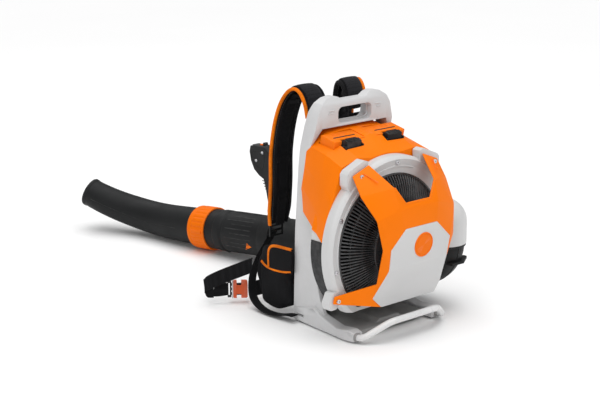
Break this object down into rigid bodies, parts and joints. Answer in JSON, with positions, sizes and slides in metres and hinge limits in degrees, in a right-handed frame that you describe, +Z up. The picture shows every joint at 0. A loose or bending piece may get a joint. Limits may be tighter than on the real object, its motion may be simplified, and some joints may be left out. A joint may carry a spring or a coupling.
{
  "type": "backpack leaf blower",
  "caption": "Battery backpack leaf blower with a domed intake behind a faceted shield, padded harness, swivelling tube with curved nozzle and pistol grip.",
  "frame": {"origin": "On the ground, in the middle of the base of the back plate's feet.", "axes": "+Z up, +Y towards the wearer's back and along the blower tube, +X to the wearer's right."},
  "size_m": [0.426, 1.1758, 0.499],
  "materials": {
    "white_plastic": "fine moulded texture",
    "orange_plastic": "satin moulded",
    "black_plastic": "fine grain",
    "grey_plastic": "fine grain",
    "red_plastic": "satin moulded",
    "white_metal": "powder coat",
    "steel": "bright",
    "aluminium": "machined",
    "rubber": "matt",
    "black_fabric": "woven, padded",
    "black_webbing": "woven webbing"
  },
  "bodies": {
    "frame": {"back_pad": "black_fabric", "backplate": "white_plastic", "base_deck": "grey_plastic", "battery_bay": "black_plastic", "bearings": "steel", "buckle_socket": "red_plastic", "contact_blocks": "black_plastic", "controller": "black_plastic", "fan_housing_front": "white_plastic", "fan_housing_rear": "white_plastic", "harness_yoke": "black_fabric", "hip_pad_left": "black_fabric", "hip_pad_right": "black_fabric", "hip_webbing_left": "black_webbing", "hip_webbing_right": "black_webbing", "housing_screws": "steel", "intake_grille": "black_plastic", "lower_webbing_left": "black_webbing", "lower_webbing_right": "black_webbing", "lumbar_pad": "black_fabric", "motor_bolts": "steel", "motor_mount": "aluminium", "motor_stator": "steel", "motor_windings": "black_plastic", "power_leads": "rubber", "rubber_feet": "rubber", "rubber_mounts": "rubber", "shield": "orange_plastic", "shield_badge": "orange_plastic", "shield_panel": "white_plastic", "shield_screws": "steel", "shoulder_pad_left": "black_fabric", "shoulder_pad_right": "black_fabric", "stand_bar": "white_metal", "strap_adjuster_left": "black_plastic", "strap_adjuster_right": "black_plastic", "top_cover": "orange_plastic", "unit_bracket": "grey_plastic"},
    "fan_rotor": {"fan_wheel": "black_plastic", "fan_nut": "steel", "motor_shaft": "steel", "motor_rotor": "aluminium"},
    "battery_pack_left": {"battery_left": "black_plastic"},
    "battery_pack_right": {"battery_right": "black_plastic"},
    "latch_left": {"battery_latch_left": "black_plastic"},
    "latch_right": {"battery_latch_right": "black_plastic"},
    "elbow_turn": {"outlet_elbow": "black_plastic", "hose": "rubber", "hose_clamp": "steel"},
    "collar": {"swivel_collar": "black_plastic"},
    "tube": {"blower_tube": "black_plastic"},
    "ring": {"coupling_ring": "orange_plastic"},
    "nozzle_slide": {"nozzle": "black_plastic"},
    "clamp": {"handle_clamp": "black_plastic", "handle_bolt": "steel"},
    "grip": {"control_handle": "black_plastic", "handle_pins": "steel"},
    "throttle": {"trigger": "orange_plastic"},
    "cruise": {"cruise_lever": "black_plastic"},
    "buckle": {"buckle_tongue": "black_plastic"}
  },
  "joints": [
    {"name": "fan_spin", "type": "hinge", "parent": "frame", "child": "fan_rotor", "pos_m": [0, -0.02, 0.19], "axis": [0, 1, 0], "continuous": true},
    {"name": "battery_slide_left", "type": "slide", "parent": "frame", "child": "battery_pack_left", "axis": [0, -0.2079, 0.9781], "range_m": [0, 0.15]},
    {"name": "latch_turn_left", "type": "hinge", "parent": "frame", "child": "latch_left", "pos_m": [-0.059, -0.008, 0.389], "axis": [1, 0, 0], "range_deg": [0, 18], "stiffness_Nm_per_rad": 0.25},
    {"name": "battery_slide_right", "type": "slide", "parent": "frame", "child": "battery_pack_right", "axis": [0, -0.2079, 0.9781], "range_m": [0, 0.15]},
    {"name": "latch_turn_right", "type": "hinge", "parent": "frame", "child": "latch_right", "pos_m": [0.059, -0.008, 0.389], "axis": [1, 0, 0], "range_deg": [0, 18], "stiffness_Nm_per_rad": 0.25},
    {"name": "elbow_yaw", "type": "hinge", "parent": "frame", "child": "elbow_turn", "pos_m": [0.186, -0.038, 0.148], "axis": [0, 0, -1], "range_deg": [0, 20]},
    {"name": "tube_pitch", "type": "hinge", "parent": "elbow_turn", "child": "collar", "pos_m": [0.17598, 0.07808, 0.0894], "axis": [0.9868, 0.1619, 0], "range_deg": [0, 25]},
    {"name": "tube_roll", "type": "hinge", "parent": "collar", "child": "tube", "pos_m": [0.16984, 0.11552, 0.0872], "axis": [-0.1616, 0.9852, -0.058], "range_deg": [-20, 20]},
    {"name": "ring_lock", "type": "hinge", "parent": "tube", "child": "ring", "pos_m": [0.08421, 0.63765, 0.05643], "axis": [-0.1616, 0.9852, -0.058], "range_deg": [-25, 0]},
    {"name": "nozzle_slide", "type": "slide", "parent": "tube", "child": "nozzle_slide", "axis": [-0.1616, 0.9852, -0.058], "range_m": [-0.03, 0]},
    {"name": "handle_place", "type": "slide", "parent": "tube", "child": "clamp", "axis": [-0.1616, 0.9852, -0.058], "range_m": [-0.02, 0.02]},
    {"name": "grip_tilt", "type": "hinge", "parent": "clamp", "child": "grip", "pos_m": [0.11749, 0.4347, 0.14239], "axis": [1, 0, 0], "range_deg": [-12, 12]},
    {"name": "trigger_pull", "type": "hinge", "parent": "grip", "child": "throttle", "pos_m": [0.11749, 0.4567, 0.23639], "axis": [1, 0, 0], "range_deg": [0, 9], "stiffness_Nm_per_rad": 0.15, "springref_deg": -2.86},
    {"name": "cruise_set", "type": "hinge", "parent": "grip", "child": "cruise", "pos_m": [0.11749, 0.4707, 0.28039], "axis": [1, 0, 0], "range_deg": [-25, 25]},
    {"name": "buckle_release", "type": "slide", "parent": "frame", "child": "buckle", "axis": [-0.788, 0.6157, 0], "range_m": [0, 0.024]}
  ]
}
